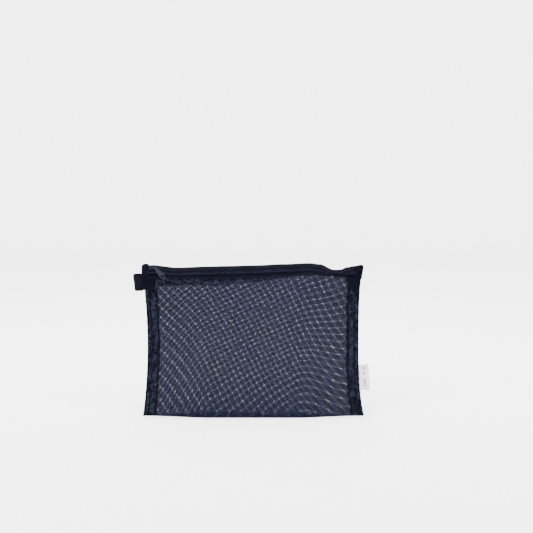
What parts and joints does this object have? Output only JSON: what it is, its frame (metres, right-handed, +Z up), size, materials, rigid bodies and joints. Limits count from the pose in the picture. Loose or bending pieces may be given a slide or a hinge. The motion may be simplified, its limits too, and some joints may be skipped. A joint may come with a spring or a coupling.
{
  "type": "mesh laundry bag",
  "caption": "Flat zipped mesh pouch with net walls on a folded base, side seams, a zip with slider and pull tab, a webbing hang loop and a sewn side label.",
  "frame": {"origin": "on the floor, under the middle of the bag's overall box", "axes": "+X along the zip towards its closed end stop, +Y to the back, +Z up"},
  "size_m": [0.354, 0.042, 0.229],
  "materials": {
    "net": "woven net, semi-matt",
    "binding": "folded net and seam binding, matt",
    "zip_tape": "woven tape, matt",
    "zip_coil": "satin nylon",
    "zip_stop": "satin",
    "webbing": "ribbed weave, matt",
    "slider_metal": "satin enamel",
    "pull_metal": "gloss enamel",
    "label": "satin weave"
  },
  "bodies": {
    "bag": {"base_fold": "net", "left_side_seam": "binding", "right_side_seam": "binding", "front_net_ends": "net", "back_net_ends": "net", "front_zip_tape_ends": "zip_tape", "back_zip_tape_ends": "zip_tape", "front_zip_coil_ends": "zip_coil", "back_zip_coil_ends": "zip_coil", "top_stops": "zip_stop", "bottom_stop": "zip_stop", "left_corner_fold": "binding", "right_corner_fold": "binding", "hang_loop_tail": "webbing", "zip_tape_tail": "zip_tape"},
    "front_wall": {"front_net_middle": "net", "front_zip_tape_middle": "zip_tape", "front_zip_coil_middle": "zip_coil"},
    "back_wall": {"back_net_middle": "net", "back_zip_tape_middle": "zip_tape", "back_zip_coil_middle": "zip_coil"},
    "slider": {"zip_slider": "slider_metal"},
    "pull": {"pull_tab": "pull_metal"},
    "loop": {"hang_loop": "webbing"},
    "label": {"side_label": "label"}
  },
  "joints": [
    {"name": "slider_travel", "type": "slide", "parent": "bag", "child": "slider", "axis": [1, 0, 0], "range_m": [0, 0.293]},
    {"name": "front_mouth", "type": "hinge", "parent": "bag", "child": "front_wall", "pos_m": [0, -0.0164, 0.001], "axis": [1, 0, 0], "range_deg": [0, 14]},
    {"name": "back_mouth", "type": "hinge", "parent": "bag", "child": "back_wall", "pos_m": [0, 0.0164, 0.001], "axis": [-1, 0, 0], "range_deg": [0, 14]},
    {"name": "pull_flip", "type": "hinge", "parent": "slider", "child": "pull", "pos_m": [-0.147, -0.0068, 0.22707], "axis": [-1, 0, 0], "range_deg": [0, 138]},
    {"name": "loop_flap", "type": "hinge", "parent": "bag", "child": "loop", "pos_m": [-0.165, 0, 0.2025], "axis": [0, 0, 1], "range_deg": [-45, 45], "stiffness_Nm_per_rad": 0.0005},
    {"name": "label_flap", "type": "hinge", "parent": "bag", "child": "label", "pos_m": [0.16015, 0, 0.05825], "axis": [-0.0854, 0, 0.9963], "range_deg": [-75, 75], "stiffness_Nm_per_rad": 0.0002}
  ],
  "couplings": [
    {"joint": "front_mouth", "follows": "slider_travel", "rad_per_m": 0.83},
    {"joint": "back_mouth", "follows": "slider_travel", "rad_per_m": 0.83}
  ]
}
